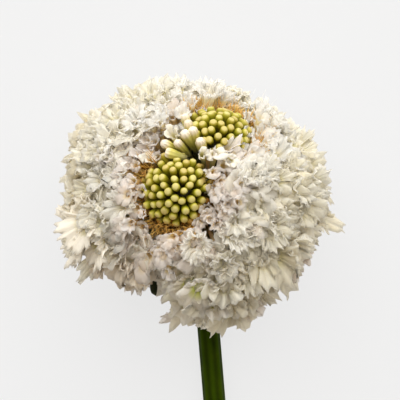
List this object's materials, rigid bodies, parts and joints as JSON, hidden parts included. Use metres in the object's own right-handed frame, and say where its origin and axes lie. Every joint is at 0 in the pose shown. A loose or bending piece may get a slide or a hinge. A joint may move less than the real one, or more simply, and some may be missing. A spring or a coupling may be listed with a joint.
{
  "type": "cut scabiosa",
  "caption": "Cut scabiosa flower: a ball of frilled cream florets round twin centres of green buds, on a leafless green stem, lying down.",
  "frame": {"origin": "centre of the flower's footprint, on the surface that it lies on", "axes": "+Z up, and the ball of florets faces it; +Y from the stem's cut end towards the head; +X to the right for an eye that looks down on the flower with +Y up"},
  "size_m": [0.0698, 0.2004, 0.0573],
  "materials": {
    "stem": "fresh dark green stem, ribbed and slightly glossy",
    "receptacle": "pale green plant flesh",
    "buds": "smooth closed buds, yellow-green with cream tips",
    "inner_florets": "thin translucent petals, blush cream, ochre in the shadows",
    "middle_florets": "thin translucent petals, cream white with a yellow-green throat",
    "outer_florets": "thin translucent petals, cream white, pleated and frilled",
    "skirt_florets": "thin translucent petals, greyer cream, pleated and frilled",
    "bracts": "matt dark green leafy bracts"
  },
  "bodies": {
    "root": {"stem": "stem", "receptacle": "receptacle", "lower_eye_buds": "buds", "upper_eye_buds": "buds", "inner_floret_01": "inner_florets", "inner_floret_02": "inner_florets", "inner_floret_03": "inner_florets", "inner_floret_04": "inner_florets", "inner_floret_05": "inner_florets", "inner_floret_06": "inner_florets", "inner_floret_07": "inner_florets", "inner_floret_08": "inner_florets", "inner_floret_09": "inner_florets", "inner_floret_10": "inner_florets", "inner_floret_11": "inner_florets", "inner_floret_12": "inner_florets", "middle_floret_01": "middle_florets", "middle_floret_02": "middle_florets", "middle_floret_03": "middle_florets", "middle_floret_04": "middle_florets", "middle_floret_05": "middle_florets", "middle_floret_06": "middle_florets", "middle_floret_07": "middle_florets", "middle_floret_08": "middle_florets", "middle_floret_09": "middle_florets", "middle_floret_10": "middle_florets", "middle_floret_11": "middle_florets", "middle_floret_12": "middle_florets", "middle_floret_13": "middle_florets", "middle_floret_14": "middle_florets", "outer_floret_01": "outer_florets", "outer_floret_02": "outer_florets", "outer_floret_03": "outer_florets", "outer_floret_04": "outer_florets", "outer_floret_05": "outer_florets", "outer_floret_06": "outer_florets", "outer_floret_07": "outer_florets", "outer_floret_08": "outer_florets", "outer_floret_09": "outer_florets", "outer_floret_10": "outer_florets", "outer_floret_11": "outer_florets", "outer_floret_12": "outer_florets", "skirt_floret_01": "skirt_florets", "skirt_floret_02": "skirt_florets", "skirt_floret_03": "skirt_florets", "skirt_floret_04": "skirt_florets", "skirt_floret_05": "skirt_florets", "skirt_floret_06": "skirt_florets", "skirt_floret_07": "skirt_florets", "skirt_floret_08": "skirt_florets", "skirt_floret_09": "skirt_florets", "skirt_floret_10": "skirt_florets", "bract_1": "bracts", "bract_2": "bracts", "bract_3": "bracts", "bract_4": "bracts", "bract_5": "bracts", "bract_6": "bracts", "bract_7": "bracts", "bract_8": "bracts"}
  },
  "joints": []
}
